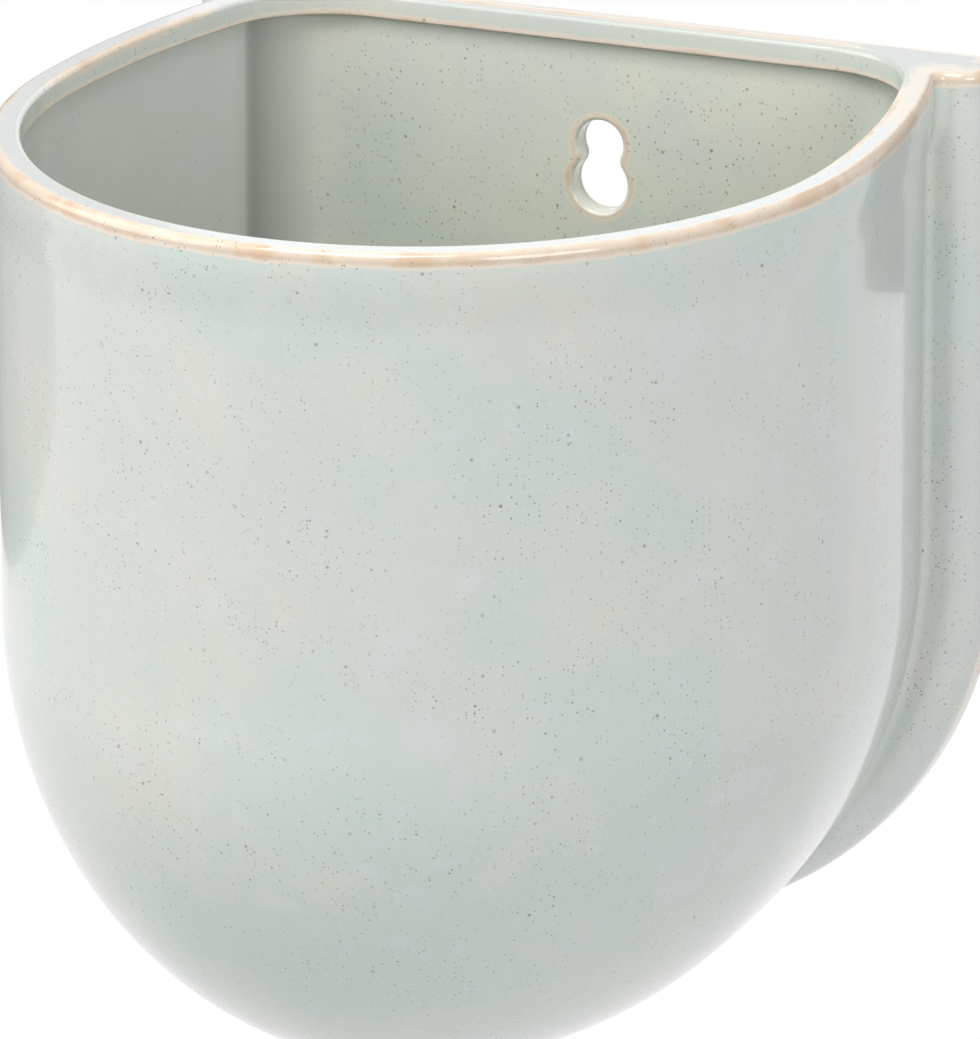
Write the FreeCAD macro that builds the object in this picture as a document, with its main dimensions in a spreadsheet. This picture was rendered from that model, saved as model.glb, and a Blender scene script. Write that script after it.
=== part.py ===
"""Wall planter: a deep half-round stoneware bowl on an arched wall plate, hung from a keyhole.

Frame: +Z up, the front faces -Y, the wall is the plane Y = 0 and X = 0 is the plane of symmetry.
The origin is the middle of the keyhole's upper seat, on the wall.
"""

import FreeCAD
import Part
import Sketcher
import math
import os

# Driving dimensions in millimetres.
SIZES = {
    # the bowl, seen from above: a half ellipse in front, two long side arcs and rounded back corners
    "half_width": 87.0,
    "middle_depth": 85.0,
    "front_reach": 91.0,
    "front_rake": 3.0,
    "side_radius": 230.0,
    "outer_corner": 37.0,
    "cavity_corner": 20.0,
    "wall_thickness": 4.2,
    "back_thickness": 5.0,
    # the bowl, seen from the side
    "seat_below_top": 26.6,
    "straight_height": 98.0,
    "belly_height": 92.5,
    "belly_fullness": 2.3,
    "flare_height": 8.0,
    # the wall plate, as wide as the bowl
    "plate_straight": 104.4,
    "plate_thickness": 14.5,
    "plate_nose": 8.0,
    # the rim
    "rim_height": 5.0,
    "rim_overhang": 0.8,
    "rim_corner": 12.0,
    "rim_land": 2.5,
    "rim_round": 1.8,
    "lip_proud": 1.2,
    "lip_corner": 23.0,
    "lip_round": 1.0,
    # the keyhole
    "seat_radius": 5.0,
    "entry_radius": 6.0,
    "entry_drop": 8.4,
    "neck_radius": 2.8,
}

# The belly is ruled in this many narrow bands and ends in a narrow flat keel at this angle.
BELLY_STEPS = 14
BELLY_END = math.radians(82.0)

# Each rounding of the rim is ruled in this many bands.
ROUND_STEPS = 3

# How far a cutting form runs on past the surface that it opens.
CUT_MARGIN = 5.0

# Two heights or depths closer than this are the same.
TOUCH = 0.001

doc = FreeCAD.newDocument("wall_planter")


def make_sheet():
    """Spreadsheet with one aliased cell for each driving dimension."""
    table = doc.addObject("Spreadsheet::Sheet", "sizes")
    for row, (name, value) in enumerate(SIZES.items(), start=1):
        table.set(f"A{row}", name)
        table.set(f"B{row}", str(value))
        table.setAlias(f"B{row}", name)
    doc.recompute()
    return table


sheet = make_sheet()


def size(name):
    """Value of a named cell."""
    return float(sheet.get(name))


def vector(x, y, z=0.0):
    """Point or direction."""
    return FreeCAD.Vector(x, y, z)


# ---------------------------------------------------------------- outlines seen from above


class Outline:
    """D-shaped outline: inset from the bowl's outside, flat back line, own corner radius."""

    def __init__(self, inset, back, corner):
        self.half_width = size("half_width") - inset
        self.reach = size("front_reach") - inset
        self.side_radius = size("side_radius") - inset
        self.middle = -size("middle_depth")
        self.back = back
        self.corner = corner
        self.corner_y = back - corner
        self.side_x = self.half_width - self.side_radius
        span = self.side_radius - corner
        self.corner_x = self.side_x + math.sqrt(span ** 2 - (self.corner_y - self.middle) ** 2)
        self.turn = math.atan2(self.corner_y - self.middle, self.corner_x - self.side_x)

    def on_side(self, angle):
        """Point on the right-hand side arc."""
        x = self.side_x + self.side_radius * math.cos(angle)
        return vector(x, self.middle + self.side_radius * math.sin(angle))

    def on_corner(self, angle):
        """Point on the right-hand corner arc."""
        x = self.corner_x + self.corner * math.cos(angle)
        return vector(x, self.corner_y + self.corner * math.sin(angle))

    def flank(self, mirrored):
        """Side arc and corner arc of one hand, in order round the outline."""
        side = [self.on_side(self.turn * share) for share in (0.0, 0.5, 1.0)]
        bend = [self.on_corner(self.turn + (math.pi / 2 - self.turn) * share) for share in (0.0, 0.5, 1.0)]
        if mirrored:
            side = [vector(-p.x, p.y) for p in reversed(side)]
            bend = [vector(-p.x, p.y) for p in reversed(bend)]
            return [Part.Arc(*bend).toShape(), Part.Arc(*side).toShape()]
        return [Part.Arc(*side).toShape(), Part.Arc(*bend).toShape()]

    def front(self, reach):
        """Half ellipse round the front, from the left to the right."""
        centre = vector(0, 0)
        circle = Part.Circle(centre, vector(0, 0, 1), 1.0)
        arc = Part.ArcOfCircle(circle, math.pi, 2 * math.pi).toShape()
        stretch = FreeCAD.Matrix()
        stretch.scale(self.half_width, reach, 1.0)
        arc = arc.transformGeometry(stretch)
        arc.translate(vector(0, self.middle))
        return arc

    def wire(self, height, reach=None, width_share=1.0):
        """Closed outline at a height, drawn in towards the middle plane by width_share."""
        right = vector(self.corner_x, self.back)
        left = vector(-self.corner_x, self.back)
        edges = [self.front(self.reach if reach is None else reach)]
        edges += self.flank(mirrored=False)
        edges.append(Part.makeLine(right, left))
        edges += self.flank(mirrored=True)
        narrow = FreeCAD.Matrix()
        narrow.scale(width_share, 1.0, 1.0)
        ring = Part.Wire(edges).transformGeometry(narrow)
        ring.translate(vector(0, 0, height))
        return ring


def outer_outline():
    """Outside of the bowl."""
    return Outline(0.0, 0.0, size("outer_corner"))


def cavity_outline():
    """Inside of the bowl, one wall in."""
    return Outline(size("wall_thickness"), -size("back_thickness"), size("cavity_corner"))


def lip_outline(opened=0.0):
    """Mouth of the planter: the lip stands a little proud of the inner wall."""
    proud = size("lip_proud") - opened
    inset = size("wall_thickness") + proud
    return Outline(inset, -size("back_thickness") - proud, size("lip_corner") + opened)


def rim_outline(drawn_in=0.0):
    """Outside of the rim, which runs on beside the bowl's rounded back corners to the plate."""
    return Outline(drawn_in - size("rim_overhang"), -size("rim_land"), size("rim_corner") - drawn_in)


# ---------------------------------------------------------------- the bowl's two forms


def spring_height():
    """Height at which the straight walls end and the belly begins."""
    return size("seat_below_top") - size("straight_height")


def wall_section(outline, height):
    """Outline of the straight walls, whose front leans out towards the top."""
    share = (height - spring_height()) / size("straight_height")
    return outline.wire(height, outline.reach + size("front_rake") * share)


def belly_section(outline, depth, angle):
    """Outline of the belly: a half ellipse across, with a flat keel that runs back to the wall."""
    drop = math.sin(angle)
    fullness = size("belly_fullness")
    reach = outline.reach * (1.0 - drop ** fullness) ** (1.0 / fullness)
    return outline.wire(spring_height() - depth * drop, reach, math.cos(angle))


def shell_form(outline, collar, depth, top):
    """Bowl-shaped solid from an outline: belly, straight walls and a collar up to a height."""
    foot = size("seat_below_top") - size("rim_height") - size("flare_height")
    step = BELLY_END / BELLY_STEPS
    belly = [belly_section(outline, depth, step * number) for number in range(BELLY_STEPS + 1)]
    neck = [wall_section(outline, foot), wall_section(collar, top)]
    walls = [wall_section(outline, foot), wall_section(outline, spring_height())]
    parts = [Part.makeLoft(sections, True, True) for sections in (belly, walls, neck)]
    return parts[0].fuse(parts[1:])


def make_feature(name, shape):
    """Document object that holds a shape made by formula."""
    feature = doc.addObject("Part::Feature", name)
    feature.Shape = shape
    return feature


def outer_form():
    """Solid envelope of the bowl, up to the seat of the rim."""
    flared = Outline(0.0, -size("rim_land"), size("rim_corner"))
    seat = size("seat_below_top") - size("rim_height")
    shape = shell_form(outer_outline(), flared, size("belly_height"), seat)
    return make_feature("outer_form", shape)


def cavity_form():
    """Hollow of the planter, open past the top."""
    outline = cavity_outline()
    depth = size("belly_height") - size("wall_thickness")
    shape = shell_form(outline, outline, depth, size("seat_below_top") + CUT_MARGIN)
    return make_feature("cavity_form", shape)


# ---------------------------------------------------------------- pieces


def make_cut(name, base, tool):
    """Base with the tool taken away."""
    cut = doc.addObject("Part::Cut", name)
    cut.Base = base
    cut.Tool = tool
    return cut


def make_zone(name):
    """Box that holds everything behind the front of the wall plate."""
    zone = doc.addObject("Part::Box", name)
    zone.setExpression("Length", "sizes.half_width * 4")
    zone.setExpression("Width", "sizes.plate_thickness + sizes.middle_depth")
    zone.setExpression("Height", "(sizes.straight_height + sizes.belly_height) * 2")
    zone.setExpression("Placement.Base.x", "-sizes.half_width * 2")
    zone.setExpression("Placement.Base.y", "-sizes.plate_thickness")
    zone.setExpression("Placement.Base.z", "-(sizes.straight_height + sizes.belly_height) * 1.5")
    return zone


def make_bowl(outside, cavity):
    """Bowl shell, which ends flat against the front of the wall plate."""
    block = make_cut("bowl_block", outside, make_zone("behind_bowl"))
    return make_cut("bowl", block, cavity)


def origin_plane(body, role):
    """One of a body's own origin planes."""
    return next(plane for plane in body.Origin.OriginFeatures if plane.Role == role)


def make_sketch(body, name):
    """Sketch on the body's wall plane: x to the left of the sketch is -X, y is +Z."""
    sketch = body.newObject("Sketcher::SketchObject", name)
    sketch.AttachmentSupport = [(origin_plane(body, "XZ_Plane"), "")]
    sketch.MapMode = "FlatFace"
    return sketch


def tie(sketch, constraint, formula):
    """Add a dimension to a sketch and bind it to the named cells."""
    number = sketch.addConstraint(constraint)
    sketch.setExpression(f"Constraints[{number}]", formula)


def draw_arch(sketch):
    """U-shaped outline of the plate: flat top, straight sides, half-round foot."""
    wide = size("half_width")
    top = size("seat_below_top")
    foot = top - size("plate_straight")
    along_top = sketch.addGeometry(Part.LineSegment(vector(-wide, top), vector(wide, top)))
    right = sketch.addGeometry(Part.LineSegment(vector(wide, top), vector(wide, foot)))
    circle = Part.Circle(vector(0, foot), vector(0, 0, 1), wide)
    arch = sketch.addGeometry(Part.ArcOfCircle(circle, math.pi, 2 * math.pi))
    left = sketch.addGeometry(Part.LineSegment(vector(-wide, foot), vector(-wide, top)))
    sketch.addConstraint(Sketcher.Constraint("Coincident", along_top, 2, right, 1))
    sketch.addConstraint(Sketcher.Constraint("Coincident", left, 2, along_top, 1))
    sketch.addConstraint(Sketcher.Constraint("Tangent", right, 2, arch, 2))
    sketch.addConstraint(Sketcher.Constraint("Tangent", left, 1, arch, 1))
    sketch.addConstraint(Sketcher.Constraint("Horizontal", along_top))
    sketch.addConstraint(Sketcher.Constraint("Vertical", right))
    sketch.addConstraint(Sketcher.Constraint("PointOnObject", arch, 3, -2))
    tie(sketch, Sketcher.Constraint("Radius", arch, wide), "sizes.half_width")
    tie(sketch, Sketcher.Constraint("DistanceY", -1, 1, along_top, 2, top), "sizes.seat_below_top")
    tie(sketch, Sketcher.Constraint("DistanceY", right, 2, right, 1, top - foot), "sizes.plate_straight")


def draw_keyhole(sketch):
    """Keyhole: seat above, larger entry below, and a round neck on each side between them."""
    seat = size("seat_radius")
    entry = size("entry_radius")
    neck = size("neck_radius")
    drop = size("entry_drop")
    upper = seat + neck
    lower = entry + neck
    seat_turn = math.acos((drop ** 2 + upper ** 2 - lower ** 2) / (2 * drop * upper))
    entry_turn = math.acos((drop ** 2 + lower ** 2 - upper ** 2) / (2 * drop * lower))
    normal = vector(0, 0, 1)
    down = -math.pi / 2
    seat_circle = Part.Circle(vector(0, 0), normal, seat)
    seat_arc = Part.ArcOfCircle(seat_circle, down + seat_turn, down - seat_turn + 2 * math.pi)
    entry_circle = Part.Circle(vector(0, -drop), normal, entry)
    entry_arc = Part.ArcOfCircle(entry_circle, -down + entry_turn, -down - entry_turn + 2 * math.pi)
    seat_number = sketch.addGeometry(seat_arc)
    entry_number = sketch.addGeometry(entry_arc)
    neck_x = upper * math.sin(seat_turn)
    neck_y = -upper * math.cos(seat_turn)
    right_circle = Part.Circle(vector(neck_x, neck_y), normal, neck)
    right_arc = Part.ArcOfCircle(right_circle, math.pi / 2 + seat_turn, 3 * math.pi / 2 - entry_turn)
    left_circle = Part.Circle(vector(-neck_x, neck_y), normal, neck)
    left_arc = Part.ArcOfCircle(left_circle, entry_turn - math.pi / 2, math.pi / 2 - seat_turn)
    right = sketch.addGeometry(right_arc)
    left = sketch.addGeometry(left_arc)
    sketch.addConstraint(Sketcher.Constraint("Tangent", seat_number, 1, right, 1))
    sketch.addConstraint(Sketcher.Constraint("Tangent", seat_number, 2, left, 2))
    sketch.addConstraint(Sketcher.Constraint("Tangent", entry_number, 2, right, 2))
    sketch.addConstraint(Sketcher.Constraint("Tangent", entry_number, 1, left, 1))
    sketch.addConstraint(Sketcher.Constraint("Coincident", seat_number, 3, -1, 1))
    sketch.addConstraint(Sketcher.Constraint("PointOnObject", entry_number, 3, -2))
    sketch.addConstraint(Sketcher.Constraint("Equal", right, left))
    tie(sketch, Sketcher.Constraint("Radius", seat_number, seat), "sizes.seat_radius")
    tie(sketch, Sketcher.Constraint("Radius", entry_number, entry), "sizes.entry_radius")
    tie(sketch, Sketcher.Constraint("Radius", right, neck), "sizes.neck_radius")
    tie(sketch, Sketcher.Constraint("DistanceY", entry_number, 3, seat_number, 3, drop), "sizes.entry_drop")


def front_edges(shape):
    """Names of the plate's front edges, all but the straight one along the top."""
    names = []
    for number, edge in enumerate(shape.Edges, start=1):
        centre = edge.CenterOfMass
        at_front = abs(centre.y + size("plate_thickness")) < TOUCH
        along_top = abs(centre.z - size("seat_below_top")) < TOUCH
        if at_front and not along_top:
            names.append(f"Edge{number}")
    return names


def make_slab():
    """Arched slab with a rounded nose and the keyhole through it."""
    body = doc.addObject("PartDesign::Body", "plate_slab")
    arch = make_sketch(body, "arch_sketch")
    draw_arch(arch)
    pad = body.newObject("PartDesign::Pad", "arch_pad")
    pad.Profile = arch
    pad.setExpression("Length", "sizes.plate_thickness")
    doc.recompute()
    nose = body.newObject("PartDesign::Fillet", "nose")
    nose.Base = (pad, front_edges(pad.Shape))
    nose.setExpression("Radius", "sizes.plate_nose")
    keyhole = make_sketch(body, "keyhole_sketch")
    draw_keyhole(keyhole)
    doc.recompute()
    pocket = body.newObject("PartDesign::Pocket", "keyhole")
    pocket.Profile = keyhole
    pocket.Reversed = True
    pocket.setExpression("Length", "sizes.plate_thickness")
    doc.recompute()
    if pocket.Shape.Volume > nose.Shape.Volume - TOUCH:
        raise RuntimeError("the keyhole cuts nothing")
    return body


def make_back_plate(rim_block, cavity):
    """Wall plate: the slab, rebated for the rim and hollowed behind the planter's cavity."""
    rebated = make_cut("rebated_plate", make_slab(), rim_block)
    return make_cut("back_plate", rebated, cavity)


def rim_section(outline, height):
    """Outline of the rim at a height, with the front as far out as at the planter's top."""
    return outline.wire(height, outline.reach + size("front_rake"))


def rim_form(name, outline_at, radius, top):
    """Solid up to the rim's top edge, which is rounded, and on up to a height."""
    seat = size("seat_below_top") - size("rim_height")
    sections = [rim_section(outline_at(0.0), seat)]
    for number in range(ROUND_STEPS + 1):
        angle = math.pi / 2 * number / ROUND_STEPS
        height = size("seat_below_top") - radius * (1.0 - math.sin(angle))
        sections.append(rim_section(outline_at(radius * (1.0 - math.cos(angle))), height))
    if top > size("seat_below_top"):
        sections.append(rim_section(outline_at(radius), top))
    return make_feature(name, Part.makeLoft(sections, True, True))


def make_rim_block():
    """Square-edged solid as tall as the rim, which the wall plate is rebated for."""
    top = size("seat_below_top")
    sections = [rim_section(rim_outline(), height) for height in (top - size("rim_height"), top)]
    return make_feature("rim_block", Part.makeLoft(sections, True, True))


def make_rim(rim_block):
    """Rim ring: rounded outside, a lip round the mouth, and a square tail let into the plate."""
    zone = make_zone("behind_rim")
    top = size("seat_below_top")
    bow = make_cut("rim_bow", rim_form("rounded_rim", rim_outline, size("rim_round"), top), zone)
    tail = doc.addObject("Part::Common", "rim_tail")
    tail.Base = rim_block
    tail.Tool = zone
    joined = doc.addObject("Part::Fuse", "rim_disc")
    joined.Base = bow
    joined.Tool = tail
    mouth = rim_form("mouth", lip_outline, size("lip_round"), top + CUT_MARGIN)
    return make_cut("rim", joined, mouth)


def check(objects):
    """Stop if an object failed or a shape is empty or broken."""
    for item in doc.Objects:
        if "Invalid" in item.State or "Error" in item.State:
            raise RuntimeError(f"{item.Name} failed: {item.State}")
    for item in objects:
        shape = item.Shape
        if shape.isNull() or not shape.isValid() or len(shape.Solids) != 1:
            raise RuntimeError(f"{item.Label} isn't one sound solid")


def main():
    """Build the three pieces and write one file for each."""
    outside = outer_form()
    cavity = cavity_form()
    rim_block = make_rim_block()
    pieces = [make_bowl(outside, cavity), make_back_plate(rim_block, cavity), make_rim(rim_block)]
    doc.recompute()
    check(pieces)
    os.makedirs("parts", exist_ok=True)
    for piece in pieces:
        piece.Shape.exportStep(f"parts/{piece.Label}.step")
        print(piece.Label, round(piece.Shape.Volume / 1000.0, 1), "cm3")


main()
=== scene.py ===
"""Wall planter in reactive-glazed stoneware: the glazed skin over the solids, its light and camera.

Lengths are worked out in millimetres in the part's own frame and placed in metres.
X = 0 is the middle plane, the wall is Y = 0, the front faces -Y and +Z is up.
"""

import math

import bpy
import numpy as np
from mathutils import Matrix, Vector

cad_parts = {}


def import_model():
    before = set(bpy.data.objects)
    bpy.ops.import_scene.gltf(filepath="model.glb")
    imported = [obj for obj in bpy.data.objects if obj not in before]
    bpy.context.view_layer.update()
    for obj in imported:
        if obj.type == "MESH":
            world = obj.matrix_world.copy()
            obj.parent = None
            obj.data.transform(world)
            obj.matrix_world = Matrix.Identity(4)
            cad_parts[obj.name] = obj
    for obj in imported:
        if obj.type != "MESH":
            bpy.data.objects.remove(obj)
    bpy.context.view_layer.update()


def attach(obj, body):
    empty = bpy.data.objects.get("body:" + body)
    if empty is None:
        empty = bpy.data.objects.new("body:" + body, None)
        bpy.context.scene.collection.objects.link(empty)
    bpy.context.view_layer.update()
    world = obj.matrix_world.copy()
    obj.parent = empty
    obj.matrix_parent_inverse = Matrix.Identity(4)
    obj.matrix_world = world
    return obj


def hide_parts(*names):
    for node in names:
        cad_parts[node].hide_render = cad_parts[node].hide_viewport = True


MM = 0.001

# the pot, seen from above
HALF_WIDTH = 87.0
MIDDLE = -85.0
REACH = 91.0
RAKE = 2.95
SIDE_RADIUS = 230.0
BODY_CORNER = 36.6
FLARE_CORNER = 14.0
POT_BACK = -0.4
WALL = 4.2
CAVITY_BACK = -5.0
CAVITY_CORNER = 20.0

# the pot, seen from the side
TOP = 26.6
SEAM = 21.6
SPRING = -71.4
FLARE_FOOT = 9.0
BELLY = 92.5
BELLY_TRIM = 0.1
FULLNESS = 2.3

# the wall plate
PLATE_FRONT = -14.5
ARCH_CENTRE = -77.8
NOSE_ACROSS = 7.2
NOSE_DEEP = 8.0
BACK_ROUND = 2.5
PLATE_TRIM = 0.06
PLATE_RUN_ON = 1.45
TOOL_ABOVE = 9.0

# the rim and its lip
OVERHANG = 0.8
RIM_ROUND = 1.8
RIM_BACK_ROUND = 0.9
RIM_SIDE = 1.6
COVE = 3.2
COVE_BELOW = 1.2
LIP_PROUD = 1.2
LIP_CORNER = 23.0
LIP_ROUND = 1.0
LIP_UNDER = 0.45
LIP_SIDE = 3.0

# the keyhole
SEAT = 5.0
ENTRY = 6.0
DROP = 8.4
NECK = 2.8
HOLE_ROUND = 0.9
HOLE_BEHIND = 3.0
HOLE_AHEAD = -9.0
HOLE_FIT = 0.03

# how finely the outlines are stepped, for one half of a loop
FRONT_STEPS = 64
SIDE_STEPS = 26
COVE_STEPS = 8
HIDDEN_STEPS = 6
BACK_STEPS = 10


# ---------------------------------------------------------------- outlines seen from above


class Outline:
    """D-shaped outline drawn in from the pot's outside."""

    def __init__(self, inset, back, corner, rake=0.0):
        self.half = HALF_WIDTH - inset
        self.reach = REACH - inset + rake
        self.radius = SIDE_RADIUS - inset
        self.back = back
        self.corner = corner
        self.corner_y = back - corner
        self.side_x = self.half - self.radius
        span = self.radius - corner
        self.corner_x = self.side_x + math.sqrt(span**2 - (self.corner_y - MIDDLE) ** 2)
        self.turn = math.atan2(self.corner_y - MIDDLE, self.corner_x - self.side_x)
        self.turn_y = MIDDLE + self.radius * math.sin(self.turn)

    def x_at(self, y):
        """Half-width behind the middle, at a depth."""
        if y <= self.turn_y:
            return self.side_x + math.sqrt(self.radius**2 - (y - MIDDLE) ** 2)
        return self.corner_x + math.sqrt(max(self.corner**2 - (y - self.corner_y) ** 2, 0.0))

    def front(self):
        """Right-hand quarter of the front, from the side to the middle."""
        turns = np.linspace(0.0, math.pi / 2, FRONT_STEPS + 1)[1:]
        return [(self.half * math.cos(a), MIDDLE - self.reach * math.sin(a)) for a in turns]


def mirrored_loop(half):
    """Closed loop from its right half, which runs from the middle of the back to that of the front."""
    right = np.array(half, dtype=float)
    right[0, 0] = 0.0
    right[-1, 0] = 0.0
    left = right[-2:0:-1] * (-1.0, 1.0)
    return np.vstack([right, left])


def arc(centre, across, deep, turns):
    """Points on an elliptical arc at the given angles."""
    return [(centre[0] + across * math.cos(a), centre[1] + deep * math.sin(a)) for a in turns]


def back_line(width):
    """Points from the middle of a straight back up to, but not on, its end."""
    return [width * k / BACK_STEPS for k in range(BACK_STEPS)]


def inside_loop(outline, corner_steps, side_steps):
    """Inside outline: back line, corner arc, side arc, front."""
    bend = np.linspace(math.pi / 2, outline.turn, corner_steps + 1)[:-1]
    side = np.linspace(outline.turn, 0.0, side_steps + 1)
    corner, radius = outline.corner, outline.radius
    points = [(x, outline.back) for x in back_line(outline.corner_x)]
    points += arc((outline.corner_x, outline.corner_y), corner, corner, bend)
    points += arc((outline.side_x, MIDDLE), radius, radius, side)
    return mirrored_loop(points + outline.front())


def cavity_loop(outline):
    """Inside outline in step with the outside one."""
    steps = SIDE_STEPS + COVE_STEPS + HIDDEN_STEPS
    return inside_loop(outline, steps // 2, steps - steps // 2)


def cove_share(y, cove):
    """How far out the cove has swung at a depth, from 0 where it leaves the wall to 1 at the plate."""
    reach = min(max((y - PLATE_FRONT + cove) / cove, 0.0), 1.0)
    return 1.0 - math.sqrt(1.0 - reach**2)


def cove_depths(cove):
    """Depths down the cove, from the plate's front to where it leaves the wall."""
    shares = [math.cos(math.pi / 2 * k / COVE_STEPS) for k in range(COVE_STEPS)]
    return [PLATE_FRONT - cove + cove * share for share in shares]


def body_loop(outline, cove):
    """Outside outline with the cove where it meets the wall plate, and its share of cove."""
    back = outline.back
    hidden = [back + (PLATE_FRONT - back) * k / HIDDEN_STEPS for k in range(HIDDEN_STEPS)]
    rest = np.linspace(PLATE_FRONT - cove, MIDDLE, SIDE_STEPS + 1)
    points = [(x, back) for x in back_line(outline.corner_x)]
    points += [(outline.x_at(y), y) for y in hidden]
    shares = [0.0] * len(points)
    for y in cove_depths(cove) + list(rest):
        share = cove_share(y, cove)
        points.append((outline.x_at(y) + cove * share, y))
        shares.append(share)
    front = outline.front()
    shares = np.array(shares + [0.0] * len(front))
    return mirrored_loop(points + front), np.concatenate([shares, shares[-2:0:-1]])


def at_height(loop, height):
    """Points of a loop at one height, or at one height each."""
    heights = np.broadcast_to(height, (len(loop),))
    return np.column_stack([loop, heights])


def ease(share):
    """Smooth step from 0 to 1."""
    share = min(max(share, 0.0), 1.0)
    return share * share * (3.0 - 2.0 * share)


def belly_row(loop, depth, angle, drop_extra=0.0):
    """Loop of the belly: drawn in across by a cosine, and in front by a fuller curve."""
    drop = math.sin(angle)
    shrink = max(1.0 - drop**FULLNESS, 0.0) ** (1.0 / FULLNESS)
    across = math.cos(angle) if angle < math.pi / 2 - 1e-6 else 0.0
    points = loop.copy()
    points[:, 0] *= across
    ahead = points[:, 1] < MIDDLE
    points[ahead, 1] = MIDDLE + (points[ahead, 1] - MIDDLE) * shrink
    return at_height(points, SPRING - depth * drop - drop_extra)


# ---------------------------------------------------------------- meshes


def deselect():
    """Nothing selected and no object in edit mode."""
    if bpy.context.object and bpy.context.object.mode != "OBJECT":
        bpy.ops.object.mode_set(mode="OBJECT")
    bpy.ops.object.select_all(action="DESELECT")


def pick(piece):
    """Make a piece the only one selected."""
    deselect()
    bpy.context.view_layer.objects.active = piece
    piece.select_set(True)


def edit(piece):
    """Open a piece in edit mode with all of it selected."""
    pick(piece)
    bpy.ops.object.mode_set(mode="EDIT")
    bpy.ops.mesh.select_all(action="SELECT")


def tidy_mesh(piece):
    """Merge what meets and turn every face outwards."""
    edit(piece)
    bpy.ops.mesh.remove_doubles(threshold=2e-6)
    bpy.ops.mesh.dissolve_degenerate(threshold=1e-6)
    bpy.ops.mesh.normals_make_consistent(inside=False)
    bpy.ops.object.mode_set(mode="OBJECT")


def skin(name, rows):
    """Closed skin: a grid wrapped round on loops of points, one loop for each of its rows."""
    rows = np.array(rows)
    rows = np.concatenate([rows, rows[:, :1]], axis=1)
    deselect()
    around, along = rows.shape[1] - 1, rows.shape[0] - 1
    bpy.ops.mesh.primitive_grid_add(x_subdivisions=around, y_subdivisions=along)
    piece = bpy.context.object
    piece.name = name
    piece.data.name = name
    piece.data.vertices.foreach_set("co", (rows * MM).ravel())
    piece.data.update()
    tidy_mesh(piece)
    return piece


def carve(piece, tool):
    """Take a tool out of a piece, and throw the tool away."""
    pick(piece)
    cut = piece.modifiers.new("carve", "BOOLEAN")
    cut.operation = "DIFFERENCE"
    cut.solver = "EXACT"
    cut.object = tool
    bpy.ops.object.modifier_apply(modifier=cut.name)
    bpy.data.objects.remove(tool)


def slice_above(piece, height):
    """Cut a piece flat at a height and keep what is below."""
    edit(piece)
    bpy.ops.mesh.bisect(plane_co=(0, 0, height * MM), plane_no=(0, 0, 1),
                        clear_outer=True, use_fill=True)
    bpy.ops.object.mode_set(mode="OBJECT")


def smooth(piece, degrees=35.0):
    """Smooth shading, but for edges sharper than an angle."""
    pick(piece)
    bpy.ops.object.shade_smooth_by_angle(angle=math.radians(degrees))
    even = piece.modifiers.new("even_normals", "WEIGHTED_NORMAL")
    even.keep_sharp = True
    bpy.ops.object.modifier_apply(modifier=even.name)


# ---------------------------------------------------------------- the pot


def wall_row(height):
    """Outside of the pot at a height, where its back corners swing out to the rim."""
    rise = ease((height - FLARE_FOOT) / (SEAM - FLARE_FOOT))
    rake = RAKE * (height - SPRING) / (SEAM - SPRING)
    corner = BODY_CORNER + (FLARE_CORNER - BODY_CORNER) * rise
    cove = COVE + COVE_BELOW * (1.0 - rise)
    outline = Outline(-OVERHANG * rise, POT_BACK, corner, rake)
    return at_height(body_loop(outline, cove)[0], height)


def cavity_wall_row(height):
    """Inside of the pot at a height."""
    rake = RAKE * (height - SPRING) / (SEAM - SPRING)
    return at_height(cavity_loop(Outline(WALL, CAVITY_BACK, CAVITY_CORNER, rake)), height)


def belly_turns(steps):
    """Angles down the belly, closer together towards the keel."""
    shares = np.linspace(0.0, 1.0, steps + 1)[1:]
    return (math.pi / 2) * (1.0 - (1.0 - shares) ** 1.25)


def outer_rows():
    """Outside rows of the pot, from the keel up to the seam under the rim."""
    straight = np.linspace(SPRING, FLARE_FOOT, 13)
    flare = np.linspace(FLARE_FOOT, SEAM, 13)[1:]
    cove = COVE + COVE_BELOW
    loop, share = body_loop(Outline(0.0, POT_BACK, BODY_CORNER), cove)
    belly = []
    for turn in belly_turns(44)[::-1]:
        swing = cove * share * math.sin(turn) * math.cos(turn)
        belly.append(belly_row(loop, BELLY - BELLY_TRIM, turn, swing))
    return belly + [wall_row(height) for height in [*straight, *flare]]


def inner_rows():
    """Inside rows of the pot, from the seam down to the keel of the cavity."""
    loop = cavity_loop(Outline(WALL, CAVITY_BACK, CAVITY_CORNER))
    wall = [cavity_wall_row(height) for height in np.linspace(SEAM, SPRING, 22)]
    return wall + [belly_row(loop, BELLY - WALL, turn) for turn in belly_turns(40)]


def keyhole_outline(grow):
    """Keyhole seen from the front, with its edge moved out by an amount."""
    seat, entry, neck = SEAT + grow, ENTRY + grow, NECK - grow
    upper, lower = SEAT + NECK, ENTRY + NECK
    seat_turn = math.acos((DROP**2 + upper**2 - lower**2) / (2 * DROP * upper))
    entry_turn = math.acos((DROP**2 + lower**2 - upper**2) / (2 * DROP * lower))
    quarter = math.pi / 2
    neck_x, neck_z = upper * math.sin(seat_turn), -upper * math.cos(seat_turn)
    arcs = (((0.0, 0.0), seat, seat_turn - quarter, 3 * quarter - seat_turn, 48),
            ((-neck_x, neck_z), neck, quarter - seat_turn, entry_turn - quarter, 16),
            ((0.0, -DROP), entry, quarter + entry_turn, 5 * quarter - entry_turn, 56),
            ((neck_x, neck_z), neck, 3 * quarter - entry_turn, quarter + seat_turn, 16))
    points = []
    for centre, radius, start, end, steps in arcs:
        points += arc(centre, radius, radius, np.linspace(start, end, steps + 1)[:-1])
    return np.array(points)


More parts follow.
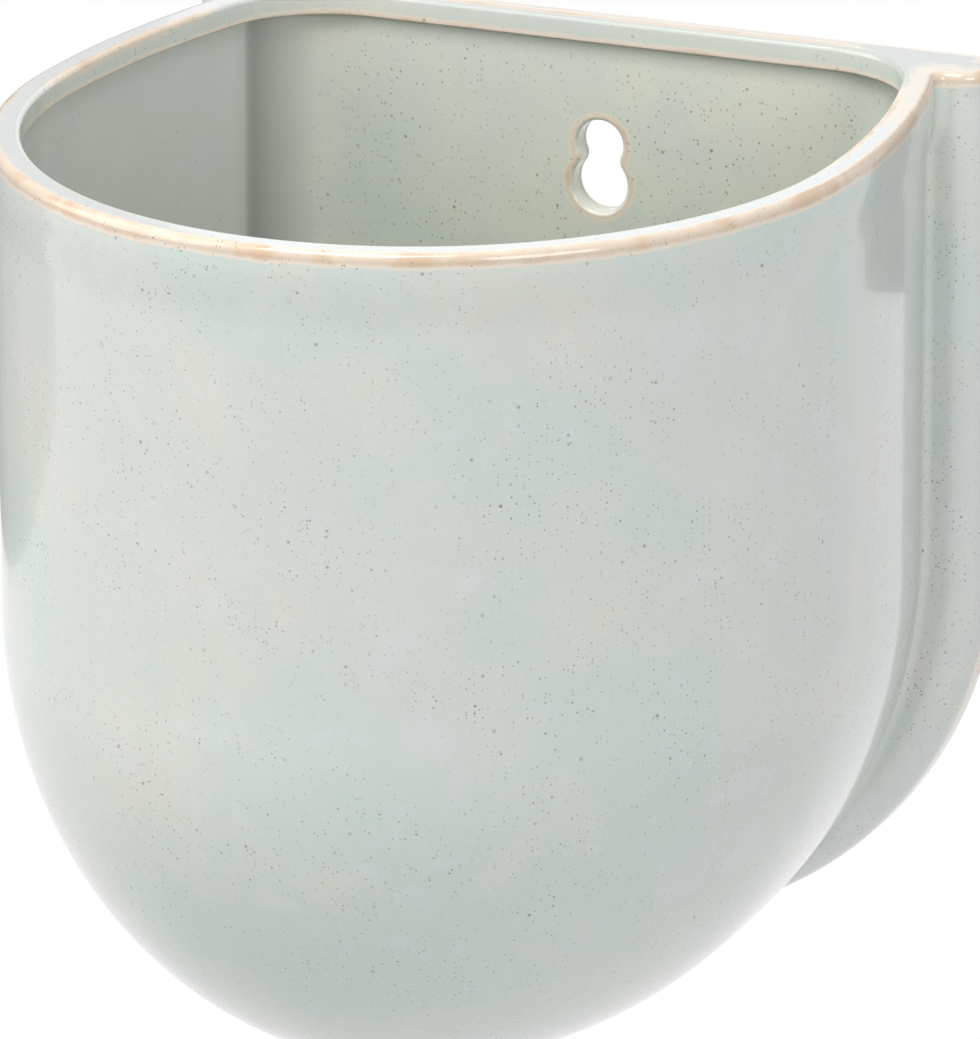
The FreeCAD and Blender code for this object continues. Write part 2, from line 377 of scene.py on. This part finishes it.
def keyhole_tool(name, grow, front_round):
    """Tool for the keyhole, flared at the front so that it leaves a rounded edge."""

    def row(y, extra):
        across, level = keyhole_outline(grow + extra).T
        return np.column_stack([across, np.full(len(across), y), level])

    def lid(y):
        return np.tile((0.0, y, -DROP / 2), (len(keyhole_outline(0.0)), 1))

    rows = [lid(HOLE_BEHIND), row(HOLE_BEHIND, 0.0), row(CAVITY_BACK + front_round, 0.0)]
    for turn in np.linspace(0.0, math.pi / 2, 7)[1:]:
        rows.append(row(CAVITY_BACK + front_round * (1.0 - math.sin(turn)),
                        front_round * (1.0 - math.cos(turn))))
    return skin(name, rows + [row(HOLE_AHEAD, front_round), lid(HOLE_AHEAD)])


def make_pot():
    """Glazed pot below the rim, as one closed wall, with the keyhole through its back."""
    pot = skin("glazed_pot", outer_rows() + inner_rows())
    carve(pot, keyhole_tool("pot_keyhole", 0.0, HOLE_ROUND))
    tidy_mesh(pot)
    smooth(pot)
    return pot


# ---------------------------------------------------------------- the wall plate


def plate_row(wide, y):
    """Arched outline of the plate at a half-width, run on past the top so that it can be cut flat."""
    height = ARCH_CENTRE + wide * PLATE_RUN_ON
    side = np.linspace(height, ARCH_CENTRE, 26)
    low = wide - PLATE_TRIM if wide > 0.0 else 0.0
    points = [(wide * k / 8, height) for k in range(8)]
    points += [(wide, z) for z in side]
    points += arc((0.0, ARCH_CENTRE), wide, low, np.linspace(0.0, -math.pi, 97)[1:-1])
    points += [(-wide, z) for z in side[::-1]]
    points += [(-wide + wide * k / 8, height) for k in range(1, 8)]
    points = np.array(points)
    return np.column_stack([points[:, 0], np.full(len(points), y), points[:, 1]])


def plate_edge(back_steps, nose_steps):
    """Edge of the plate seen from above: the small back rounding, then the soft nose."""
    back = np.linspace(math.pi / 2, 0.0, back_steps)
    nose = np.linspace(0.0, -math.pi / 2, nose_steps)
    points = arc((HALF_WIDTH - BACK_ROUND, -BACK_ROUND), BACK_ROUND, BACK_ROUND, back)
    nose_centre = (HALF_WIDTH - NOSE_ACROSS, PLATE_FRONT + NOSE_DEEP)
    return points + arc(nose_centre, NOSE_ACROSS, NOSE_DEEP, nose)


def plate_profile():
    """Half-width and depth of the plate's rows, from the middle of its back to that of its front."""
    back = [(wide, 0.0) for wide in (0.0, 30.0, 60.0, 80.0)]
    front = [(wide, PLATE_FRONT) for wide in (77.0, 60.0, 30.0, 0.0)]
    return back + plate_edge(6, 13) + front


def pot_tool():
    """Tool that clears the plate for the pot's own wall, midway through that wall."""
    top = SEAM + TOOL_ABOVE
    outside = Outline(0.0, POT_BACK, BODY_CORNER)
    inside = Outline(WALL, CAVITY_BACK, CAVITY_CORNER)
    shared = cavity_loop(outside) * 0.5 + cavity_loop(inside) * 0.5
    rows = [np.tile((0.0, -60.0, top), (len(shared), 1))]
    rows += [at_height(shared, height) for height in np.linspace(top, SPRING, 12)]
    rows += [belly_row(shared, BELLY - WALL * 0.5, turn) for turn in belly_turns(30)]
    return skin("pot_tool", rows)


def make_plate():
    """Arched wall plate with a rounded nose, cleared for the pot and cut for the keyhole."""
    plate = skin("glazed_plate", [plate_row(wide, y) for wide, y in plate_profile()])
    slice_above(plate, SEAM)
    carve(plate, pot_tool())
    carve(plate, keyhole_tool("plate_keyhole", HOLE_FIT, 0.0))
    tidy_mesh(plate)
    smooth(plate)
    return plate


# ---------------------------------------------------------------- the rim


def rim_outside():
    """Outside of the rim and of the plate's top in one loop, with its outward normals and edge radii."""
    outline = Outline(-OVERHANG, POT_BACK, FLARE_CORNER, RAKE)
    half = [(x, 0.0) for x in back_line(HALF_WIDTH - BACK_ROUND)] + plate_edge(7, 15)
    for y in cove_depths(COVE):
        x = outline.x_at(y) + COVE * cove_share(y, COVE)
        if x < HALF_WIDTH - NOSE_ACROSS - 0.05:
            half.append((x, y))
    side = np.linspace(PLATE_FRONT - COVE, MIDDLE, SIDE_STEPS + 1)
    half += [(outline.x_at(y), y) for y in side]
    loop = mirrored_loop(half + outline.front())
    ahead = np.roll(loop, -1, axis=0) - np.roll(loop, 1, axis=0)
    normal = np.column_stack([-ahead[:, 1], ahead[:, 0]])
    normal /= np.linalg.norm(normal, axis=1)[:, None]
    if np.sign(np.sum(normal * (loop - (0.0, -60.0)), axis=1)).sum() < 0:
        normal = -normal
    behind = np.clip((loop[:, 1] + 5.0) / 5.0, 0.0, 1.0)
    radius = RIM_ROUND + (RIM_BACK_ROUND - RIM_ROUND) * behind
    return loop, normal, radius


def lip_loop(count, opened, under=0.0):
    """Loop of the lip with a given number of points, in step with the outside loop."""
    proud = LIP_PROUD - opened - under
    outline = Outline(WALL + proud, CAVITY_BACK - proud, LIP_CORNER + opened + under, RAKE)
    corner_steps = count // 2 - BACK_STEPS - FRONT_STEPS - SIDE_STEPS
    return inside_loop(outline, corner_steps, SIDE_STEPS)


def make_rim():
    """Rim and plate top as one ring: rounded outside, flat on top, a lip round the mouth."""
    loop, normal, radius = rim_outside()
    count = len(loop)
    rows = [at_height(loop, SEAM), at_height(loop, SEAM + RIM_SIDE)]
    for turn in np.linspace(0.0, math.pi / 2, 8):
        inset = radius * (1.0 - math.cos(turn))
        height = TOP - radius * (1.0 - math.sin(turn))
        rows.append(at_height(loop - normal * inset[:, None], height))
    edge = rows[-1]
    land = at_height(lip_loop(count, LIP_ROUND), TOP)
    for share in (0.25, 0.5, 0.62, 0.75, 0.9):
        rows.append(edge * (1.0 - share) + land * share)
    for turn in np.linspace(math.pi / 2, 0.0, 6):
        opened = LIP_ROUND * (1.0 - math.cos(turn))
        height = TOP - LIP_ROUND * (1.0 - math.sin(turn))
        rows.append(at_height(lip_loop(count, opened), height))
    rows.append(at_height(lip_loop(count, 0.0), TOP - LIP_SIDE))
    for turn in np.linspace(0.0, math.pi / 2, 5):
        under = LIP_UNDER * (1.0 - math.cos(turn))
        height = SEAM + LIP_UNDER * (1.0 - math.sin(turn))
        rows.append(at_height(lip_loop(count, 0.0, under), height))
    rows.append(at_height(lip_loop(count, LIP_PROUD), SEAM))
    rows.append(rows[-1] * 0.5 + rows[0] * 0.5)
    rows.append(rows[0])
    rim = skin("glazed_rim", rows)
    smooth(rim)
    return rim


# ---------------------------------------------------------------- where the glaze breaks thin, and where shade is painted


def fade(distance, full, gone):
    """1 within a distance, falling to 0 at a further one."""
    return np.clip((gone - distance) / (gone - full), 0.0, 1.0)


def loop_distance(points, loop):
    """Distance from a closed loop, seen from above."""
    flat = points[:, :2]
    nearest = np.full(len(points), 1e9)
    for start, end in zip(loop, np.roll(loop, -1, axis=0)):
        step = end - start
        along = np.clip((flat - start) @ step / max(step @ step, 1e-9), 0.0, 1.0)
        gap = np.linalg.norm(flat - start - along[:, None] * step, axis=1)
        nearest = np.minimum(nearest, gap)
    return nearest


# each piece's masks, and the glaze's input that each one feeds
MASKS = {"thin_glaze": "Thin", "pooled_glaze": "PaintedShade", "inner_glaze": "Inner",
         "bare_clay": "Bare", "lavender_tone": "Tone"}


def lay_masks(piece, **masks):
    """Store every mask's value for each vertex, 0 for a mask that isn't given."""
    for name in MASKS:
        values = np.zeros(len(piece.data.vertices), dtype=np.float32)
        values[:] = masks.get(name, 0.0)
        layer = piece.data.attributes.new(name, "FLOAT", "POINT")
        layer.data.foreach_set("value", values)


def vertex_places(piece):
    """Vertices of a piece in millimetres."""
    places = np.empty(len(piece.data.vertices) * 3)
    piece.data.vertices.foreach_get("co", places)
    return places.reshape(-1, 3) / MM


def bare_back(y):
    """Bare clay on the flat back, the only face that the pot can be fired on."""
    return fade(-y, 0.15, 0.9)


def rim_masks(rim):
    """Thin glaze over the rim's outer rounding, down its side, along the lip and on the land.

    The land's back is greyed and the lip's underside darkened as painted shade, and the whole of the top
    has a lavender tone.
    """
    places = vertex_places(rim)
    x, y, height = places.T
    outside = rim_outside()[0]
    inwards = loop_distance(places, outside)
    from_lip = loop_distance(places, lip_loop(len(outside), 0.0))
    inside = fade(from_lip, 1.2, 1.5)
    flat_top = fade(TOP - height, 0.3, 1.0)

    over_edge = 1.0 - 0.5 * np.clip(inwards / RIM_ROUND, 0.0, 1.0)
    down_side = fade(np.maximum(TOP - RIM_ROUND - height, 0.0), 0.2, 1.9)
    left_flank = fade(x, -70.0, -40.0) * fade(-y, 70.0, 100.0)
    outer = over_edge * fade(inwards, 1.5, 2.2) * down_side * (1.0 - 0.75 * left_flank)

    behind = 0.95 * fade(from_lip, 2.8, 3.8) * fade(-y, 8.0, 14.0) * fade(x, 48.0, 66.0)
    right_corner = fade(-y, 48.0, 72.0) * fade(-x, -74.0, -66.0) * fade(y, -12.0, -5.0)
    land = np.maximum(behind, 0.42 * right_corner) * flat_top

    upper = fade(np.abs(height - (TOP - 0.3)), 0.4, 1.0)
    upper = upper * fade(-y, 75.0, 100.0) * fade(y, -40.0, -22.0)
    lower = 0.75 * fade(np.abs(height - SEAM), 0.4, 0.9)
    lip = 0.9 * np.maximum(upper, lower)

    # painted shade: the lip's underside and the back of the land are darkened, standing in for shadow
    under_lip = 0.6 * inside * fade(np.abs(height - SEAM), 0.05, 0.3)
    back_top = 0.36 * fade(-x, 40.0, 60.0) * fade(-y, 14.0, 50.0) * flat_top
    lay_masks(rim,
              thin_glaze=np.where(inside > 0.5, lip, np.maximum(outer, land)),
              pooled_glaze=np.maximum(under_lip, back_top),
              inner_glaze=0.4 * inside,
              bare_clay=bare_back(y) * fade(height - SEAM, 2.5, 4.5),
              lavender_tone=0.6 * fade(TOP - height, 0.6, 2.2) * (1.0 - 0.7 * inside))


def pot_masks(pot):
    """Painted shade in the cavity's back corners, under the lip and on its left, and a warmer back wall.
    """
    x, y, z = vertex_places(pot).T
    cavity = fade(-cavity_depth(x, y, z), 0.2, 1.2)
    outline = Outline(WALL, CAVITY_BACK, CAVITY_CORNER)
    from_x, from_y = np.abs(x) - outline.corner_x, y - outline.corner_y
    bend = np.degrees(np.arctan2(from_y, from_x))
    off_arc = np.abs(np.hypot(from_y, from_x) - CAVITY_CORNER)
    # painted shade: the corner, under-lip and left-wall masks darken the cavity walls where they lie in
    # shadow
    corner = fade(-bend, -22.0, -14.0) * fade(bend, 26.0, 66.0) * fade(off_arc, 2.0, 4.0)
    under_lip = 0.45 * fade(SEAM - z, 0.4, 3.5)
    left_wall = 0.2 * fade(x, -55.0, -30.0) * fade(y, -22.0, -14.0)
    lay_masks(pot,
              pooled_glaze=np.maximum(np.maximum(corner, under_lip), left_wall) * cavity,
              inner_glaze=cavity * fade(-y, 6.0, 12.0),
              bare_clay=bare_back(y))


def cavity_depth(x, y, z):
    """Rough distance into the cavity from its wall, negative in the wall and outside."""
    wide = np.where(y > MIDDLE, np.abs(x), np.hypot(x, (y - MIDDLE) * (HALF_WIDTH / REACH)))
    level = np.clip((SPRING - z) / (BELLY - 2.0), 0.0, 0.999)
    reach = (HALF_WIDTH - WALL * 0.5) * np.sqrt(1.0 - level**2)
    side_drop = np.clip(y - MIDDLE, 0.0, None) ** 2 / (2.0 * SIDE_RADIUS)
    return reach - side_drop - wide


def plate_masks(plate):
    """Thin glaze along the plate's outer edge, a bare back and a faint lavender front."""
    x, y, z = vertex_places(plate).T
    out = np.where(z > ARCH_CENTRE, np.abs(x), np.hypot(x, z - ARCH_CENTRE))
    edge = fade(HALF_WIDTH - out, 0.5, 2.2) * fade(np.abs(y + 3.5), 2.0, 5.0)
    lay_masks(plate,
              thin_glaze=0.5 * edge,
              bare_clay=bare_back(y),
              lavender_tone=0.25 * fade(y, -12.0, -7.0))


# ---------------------------------------------------------------- glaze


def add_node(tree, kind, **settings):
    """Node of a kind with its properties and input values set."""
    node = tree.nodes.new(kind)
    for key, value in settings.items():
        if hasattr(node, key) and key not in node.inputs:
            setattr(node, key, value)
        else:
            node.inputs[key].default_value = value
    return node


def colour(red, green, blue):
    """Linear colour from one given in 0 to 255."""
    channels = [value / 255.0 for value in (red, green, blue)]
    linear = [c / 12.92 if c <= 0.04045 else ((c + 0.055) / 1.055) ** 2.4 for c in channels]
    return (*linear, 1.0)


CREAM = colour(213, 211, 200)
MINT = colour(198, 208, 200)
GREY_GREEN = colour(203, 207, 201)
LAVENDER = colour(215, 216, 218)
TAN = colour(213, 195, 174)
PEACH = colour(226, 214, 198)
RUST = colour(198, 160, 122)
SPECK = colour(126, 121, 105)
INNER = colour(212, 214, 198)
# painted shade: the grey that stands in for shadow in the cavity, under the lip and on the rim's back
SHADE_GREY = colour(146, 149, 143)
BARE = colour(222, 215, 203)


def mix_colours(tree, factor, first, second):
    """Mix node between two colours, each a socket or a plain colour."""
    node = tree.nodes.new("ShaderNodeMix")
    node.data_type = "RGBA"
    tree.links.new(factor, node.inputs[0])
    for socket, value in ((node.inputs[6], first), (node.inputs[7], second)):
        if isinstance(value, tuple):
            socket.default_value = value
        else:
            tree.links.new(value, socket)
    return node.outputs[2]


def ramp(tree, value, low, high):
    """Value stretched from 0 at low to 1 at high, smoothly."""
    node = tree.nodes.new("ShaderNodeMapRange")
    node.interpolation_type = "SMOOTHSTEP"
    tree.links.new(value, node.inputs["Value"])
    node.inputs["From Min"].default_value = low
    node.inputs["From Max"].default_value = high
    return node.outputs["Result"]


def maths(tree, operation, *values):
    """Math node on one to three values, each a socket or a number."""
    node = tree.nodes.new("ShaderNodeMath")
    node.operation = operation
    for socket, value in zip(node.inputs, values):
        if isinstance(value, (int, float)):
            socket.default_value = value
        else:
            tree.links.new(value, socket)
    return node.outputs[0]


def noise(tree, place, scale, detail, roughness=0.5, distortion=0.0):
    """Noise value at a place."""
    node = add_node(tree, "ShaderNodeTexNoise", Scale=scale, Detail=detail)
    node.inputs["Roughness"].default_value = roughness
    node.inputs["Distortion"].default_value = distortion
    tree.links.new(place, node.inputs["Vector"])
    return node.outputs["Fac"]


def specks(tree, place, scale, size, share):
    """Round specks: 1 inside a speck, with only a share of the cells holding one."""
    node = add_node(tree, "ShaderNodeTexVoronoi", Scale=scale)
    tree.links.new(place, node.inputs["Vector"])
    apart = tree.nodes.new("ShaderNodeSeparateColor")
    tree.links.new(node.outputs["Color"], apart.inputs[0])
    kept = maths(tree, "LESS_THAN", apart.outputs[0], share)
    reach = maths(tree, "MULTIPLY_ADD", apart.outputs[1], size, size * 0.35)
    inside = maths(tree, "SUBTRACT", reach, node.outputs["Distance"])
    soft = ramp(tree, inside, -0.01, size * 0.6)
    depth = maths(tree, "MULTIPLY_ADD", apart.outputs[2], 0.7, 0.25)
    return maths(tree, "MULTIPLY", maths(tree, "MULTIPLY", kept, depth), soft)


def keyhole_edge(tree, place):
    """Thin glaze round the keyhole, from the distance to its two round ends, on the pot's back wall."""
    apart = tree.nodes.new("ShaderNodeSeparateXYZ")
    tree.links.new(place, apart.inputs[0])
    gaps = []
    for height, radius in ((0.0, SEAT), (-DROP, ENTRY)):
        across = maths(tree, "POWER", apart.outputs["X"], 2.0)
        level = maths(tree, "SUBTRACT", apart.outputs["Z"], height * MM)
        square = maths(tree, "ADD", across, maths(tree, "POWER", level, 2.0))
        span = maths(tree, "SQRT", square)
        gaps.append(maths(tree, "SUBTRACT", span, radius * MM))
    gap = maths(tree, "MINIMUM", gaps[0], gaps[1])
    near = ramp(tree, gap, 2.6 * MM, 1.2 * MM)
    off_edge = ramp(tree, gap, 0.1 * MM, 0.8 * MM)
    behind = ramp(tree, apart.outputs["Y"], -0.012, -0.008)
    ring = maths(tree, "MULTIPLY", maths(tree, "MULTIPLY", near, off_edge), behind)
    return maths(tree, "MULTIPLY", ring, 0.62)


def glaze_group():
    """Reactive glaze: clouded colour, specks, thin tan edges, darker painted shade and a rippled
    surface.
    """
    tree = bpy.data.node_groups.new("reactive_glaze", "ShaderNodeTree")
    for name in MASKS.values():
        tree.interface.new_socket(name, in_out="INPUT", socket_type="NodeSocketFloat")
    tree.interface.new_socket("Place", in_out="INPUT", socket_type="NodeSocketVector")
    tree.interface.new_socket("Colour", in_out="OUTPUT", socket_type="NodeSocketColor")
    for name in ("Roughness", "Coat", "Height"):
        tree.interface.new_socket(name, in_out="OUTPUT", socket_type="NodeSocketFloat")
    group_in = tree.nodes.new("NodeGroupInput")
    group_out = tree.nodes.new("NodeGroupOutput")
    place = group_in.outputs["Place"]
    inner = group_in.outputs["Inner"]

    clouds = noise(tree, place, 14.0, 3.0, 0.5, 0.3)
    blotches = noise(tree, place, 34.0, 4.0, 0.55, 0.5)
    wisps = noise(tree, place, 90.0, 3.0, 0.6, 0.6)
    base = mix_colours(tree, ramp(tree, clouds, 0.38, 0.66), GREY_GREEN, MINT)
    cream_share = maths(tree, "MULTIPLY", ramp(tree, blotches, 0.42, 0.72), 0.6)
    base = mix_colours(tree, cream_share, base, CREAM)
    wisp_share = maths(tree, "MULTIPLY", ramp(tree, wisps, 0.5, 0.75), 0.3)
    base = mix_colours(tree, wisp_share, base, LAVENDER)
    warmth = maths(tree, "ADD", ramp(tree, blotches, 0.35, 0.65), 0.35)
    inner_share = maths(tree, "MULTIPLY", inner, warmth)
    base = mix_colours(tree, maths(tree, "MULTIPLY", inner_share, 0.7), base, INNER)
    base = mix_colours(tree, group_in.outputs["Tone"], base, LAVENDER)
    # painted shade: the grey mixed in where a piece's shade mask is set
    base = mix_colours(tree, group_in.outputs["PaintedShade"], base, SHADE_GREY)

    edge = maths(tree, "MAXIMUM", group_in.outputs["Thin"], keyhole_edge(tree, place))
    ragged = maths(tree, "MULTIPLY_ADD", noise(tree, place, 150.0, 4.0, 0.6), 0.7, -0.65)
    drift = maths(tree, "MULTIPLY", noise(tree, place, 42.0, 2.0), 0.6)
    wander = maths(tree, "ADD", ragged, drift)
    on_edge = ramp(tree, edge, 0.03, 0.25)
    thin = maths(tree, "MULTIPLY", maths(tree, "ADD", edge, wander), on_edge)
    tan_share = ramp(tree, thin, 0.4, 0.95)
    rust = ramp(tree, noise(tree, place, 75.0, 3.0), 0.5, 0.68)
    rust_share = maths(tree, "MULTIPLY", maths(tree, "MULTIPLY", rust, tan_share), 0.5)
    surface = mix_colours(tree, ramp(tree, thin, 0.12, 0.5), base, PEACH)
    surface = mix_colours(tree, tan_share, surface, TAN)
    surface = mix_colours(tree, rust_share, surface, RUST)

    crowd = maths(tree, "ADD", ramp(tree, noise(tree, place, 55.0, 3.0), 0.3, 0.62), 0.25)
    crowd = maths(tree, "MAXIMUM", crowd, maths(tree, "MULTIPLY", inner, 0.6))
    # fewer specks show through the painted shade
    off_shade = maths(tree, "MULTIPLY_ADD", group_in.outputs["PaintedShade"], -3.0, 1.0)
    crowd = maths(tree, "MULTIPLY", crowd, maths(tree, "MAXIMUM", off_shade, 0.3))
    fine = specks(tree, place, 1400.0, 0.32, 0.42)
    coarse = specks(tree, place, 650.0, 0.25, 0.13)
    dots = maths(tree, "MULTIPLY", maths(tree, "MAXIMUM", fine, coarse), crowd)
    surface = mix_colours(tree, maths(tree, "MULTIPLY", dots, 0.7), surface, SPECK)

    bare_edge = maths(tree, "MULTIPLY", wander, 0.25)
    bare = ramp(tree, maths(tree, "ADD", group_in.outputs["Bare"], bare_edge), 0.4, 0.6)
    grain = ramp(tree, noise(tree, place, 900.0, 2.0), 0.45, 0.8)
    clay = mix_colours(tree, maths(tree, "MULTIPLY", grain, 0.25), BARE, TAN)
    tree.links.new(mix_colours(tree, bare, surface, clay), group_out.inputs["Colour"])

    rough = maths(tree, "MULTIPLY_ADD", noise(tree, place, 90.0, 3.0), 0.1, 0.1)
    rough = maths(tree, "MAXIMUM", rough, maths(tree, "MULTIPLY", bare, 0.8))
    tree.links.new(rough, group_out.inputs["Roughness"])
    coat = maths(tree, "MULTIPLY_ADD", bare, -0.4, 0.4)
    tree.links.new(coat, group_out.inputs["Coat"])
    dimples = maths(tree, "MULTIPLY", dots, -0.12)
    ripple = maths(tree, "ADD", noise(tree, place, 45.0, 2.0), dimples)
    tree.links.new(ripple, group_out.inputs["Height"])
    return tree


def glaze_material(name, group):
    """Glossy glaze with a clear coat, driven by the piece's own masks."""
    material = bpy.data.materials.new(name)
    material.use_nodes = True
    tree = material.node_tree
    shader = tree.nodes["Principled BSDF"]
    shader.inputs["IOR"].default_value = 1.5
    shader.inputs["Coat Roughness"].default_value = 0.03
    place = tree.nodes.new("ShaderNodeTexCoord").outputs["Object"]
    glaze = tree.nodes.new("ShaderNodeGroup")
    glaze.node_tree = group
    tree.links.new(place, glaze.inputs["Place"])
    for mask, socket in MASKS.items():
        layer = add_node(tree, "ShaderNodeAttribute", attribute_name=mask)
        tree.links.new(layer.outputs["Fac"], glaze.inputs[socket])
    tree.links.new(glaze.outputs["Colour"], shader.inputs["Base Color"])
    tree.links.new(glaze.outputs["Roughness"], shader.inputs["Roughness"])
    tree.links.new(glaze.outputs["Coat"], shader.inputs["Coat Weight"])
    bump = add_node(tree, "ShaderNodeBump", Strength=0.3, Distance=0.0006)
    tree.links.new(glaze.outputs["Height"], bump.inputs["Height"])
    tree.links.new(bump.outputs["Normal"], shader.inputs["Normal"])
    return material


def dress(piece, material, nodes):
    """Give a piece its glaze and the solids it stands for."""
    piece.data.materials.clear()
    piece.data.materials.append(material)
    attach(piece, "root")
    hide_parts(*nodes)


# ---------------------------------------------------------------- room, light and camera


WHITE = (1.0, 1.0, 1.0, 1.0)
FLOOR_GREY = (0.8, 0.8, 0.8, 1.0)
ROOM_GREY = (0.40, 0.405, 0.415, 1.0)
DAYLIGHT = (0.95, 0.97, 1.0)
FLOOR_LEVEL = -0.9
CARD_GLOW = 0.42


def seen_directly(tree):
    """1 for rays from the camera, through glass and off gloss, and 0 for the light on a surface."""
    path = tree.nodes.new("ShaderNodeLightPath")
    seen = maths(tree, "MAXIMUM", path.outputs["Is Camera Ray"], path.outputs["Is Transmission Ray"])
    return maths(tree, "MAXIMUM", seen, path.outputs["Is Glossy Ray"])


def bare_material(name):
    """Material without a shader, with its tree and the socket that a shader goes into."""
    material = bpy.data.materials.new(name)
    material.use_nodes = True
    tree = material.node_tree
    tree.nodes.remove(tree.nodes["Principled BSDF"])
    return material, tree, tree.nodes["Material Output"].inputs["Surface"]


def floor_white():
    """White to the camera, and a plain pale surface to the light."""
    material, tree, surface = bare_material("floor_white")
    matt = add_node(tree, "ShaderNodeBsdfDiffuse", Color=FLOOR_GREY)
    glow = add_node(tree, "ShaderNodeEmission", Strength=1.0)
    mix = tree.nodes.new("ShaderNodeMixShader")
    tree.links.new(seen_directly(tree), mix.inputs[0])
    tree.links.new(matt.outputs[0], mix.inputs[1])
    tree.links.new(glow.outputs[0], mix.inputs[2])
    tree.links.new(mix.outputs[0], surface)
    return material


def make_room():
    """Wide pale floor well below the planter, which hangs free."""
    deselect()
    bpy.ops.mesh.primitive_plane_add(size=8.0, location=(0, 0, FLOOR_LEVEL))
    floor = bpy.context.object
    floor.name = "floor"
    floor.data.materials.append(floor_white())


def lamp(name, place, aim, width, height, power, tint=(1.0, 1.0, 1.0)):
    """Soft rectangular lamp aimed at a point."""
    light = bpy.data.lights.new(name, "AREA")
    light.shape = "RECTANGLE"
    light.size = width
    light.size_y = height
    light.energy = power
    light.color = tint
    holder = bpy.data.objects.new(name, light)
    bpy.context.scene.collection.objects.link(holder)
    holder.location = place
    holder.rotation_euler = (Vector(aim) - Vector(place)).to_track_quat("-Z", "Y").to_euler()


def grey_card(name, place, towards, width, bottom, top):
    """Upright grey board that only reflections see."""
    deselect()
    x, y = place
    bpy.ops.mesh.primitive_plane_add(size=1.0, location=(x, y, (bottom + top) / 2.0))
    card = bpy.context.object
    card.name = name
    card.scale = (width, top - bottom, 1.0)
    aim = Vector((towards[0] - x, towards[1] - y, 0.0))
    card.rotation_euler = aim.to_track_quat("Z", "Y").to_euler()
    card.visible_camera = False
    card.visible_transmission = False
    card.visible_diffuse = False
    card.visible_shadow = False
    material, tree, surface = bare_material(name)
    glow = add_node(tree, "ShaderNodeEmission", Strength=CARD_GLOW)
    tree.links.new(glow.outputs[0], surface)
    card.data.materials.append(material)


def make_light():
    """Even room light, a soft lamp on each side and one above, and two grey boards behind."""
    world = bpy.data.worlds.new("studio")
    bpy.context.scene.world = world
    world.use_nodes = True
    tree = world.node_tree
    tint = mix_colours(tree, seen_directly(tree), ROOM_GREY, WHITE)
    tree.links.new(tint, tree.nodes["Background"].inputs["Color"])
    aim = (0.0, -0.08, -0.06)
    lamp("soft_left", (-1.35, -0.75, 0.75), aim, 1.8, 1.8, 22.5)
    lamp("soft_right", (1.25, -0.95, 0.55), aim, 0.8, 0.8, 10.3, DAYLIGHT)
    lamp("soft_top", (-0.1, -0.65, 1.45), aim, 0.9, 0.7, 16.0)
    grey_card("grey_right", (0.107, 0.111), (0.086, -0.03), 0.078, -0.058, 0.2)
    grey_card("grey_left", (-0.56, 0.22), (-0.08, -0.12), 0.75, -0.262, 0.6)


CAMERA_TURN, CAMERA_RISE = math.radians(23.33), math.radians(17.89)
CAMERA_AWAY = 2400.0
CAMERA_TARGET = Vector((0.0, -70.0, -53.4))
CAMERA_RIGHT, CAMERA_DOWN = 3.518, 7.076
SENSOR = 36.0
PICTURE_HEIGHT = 1039.0
FOCAL_PIXELS = 12000.0


def make_camera():
    """Long-lens camera at the photograph's angle, moved across and down to the photograph's frame."""
    level = math.cos(CAMERA_RISE)
    back = Vector((math.sin(CAMERA_TURN) * level, -math.cos(CAMERA_TURN) * level, math.sin(CAMERA_RISE)))
    right = Vector((math.cos(CAMERA_TURN), math.sin(CAMERA_TURN), 0.0))
    up = back.cross(right)
    place = (CAMERA_TARGET + right * CAMERA_RIGHT - up * CAMERA_DOWN + back * CAMERA_AWAY) * MM
    data = bpy.data.cameras.new("camera")
    data.sensor_width = SENSOR
    data.lens = FOCAL_PIXELS * SENSOR / PICTURE_HEIGHT
    data.clip_end = 50.0
    camera = bpy.data.objects.new("camera", data)
    bpy.context.scene.collection.objects.link(camera)
    turned = Matrix((right, up, back)).transposed().to_4x4()
    camera.matrix_world = Matrix.Translation(place) @ turned
    bpy.context.scene.camera = camera


def main():
    """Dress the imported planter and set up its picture."""
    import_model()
    pot, plate, rim = make_pot(), make_plate(), make_rim()
    rim_masks(rim)
    pot_masks(pot)
    plate_masks(plate)
    group = glaze_group()
    body_glaze = glaze_material("celadon_glaze", group)
    rim_glaze = glaze_material("rim_glaze", group)
    dress(pot, body_glaze, ["bowl"])
    dress(plate, body_glaze, ["back_plate"])
    dress(rim, rim_glaze, ["rim"])
    make_room()
    make_light()
    make_camera()
    bpy.context.scene.view_settings.view_transform = "Standard"


main()
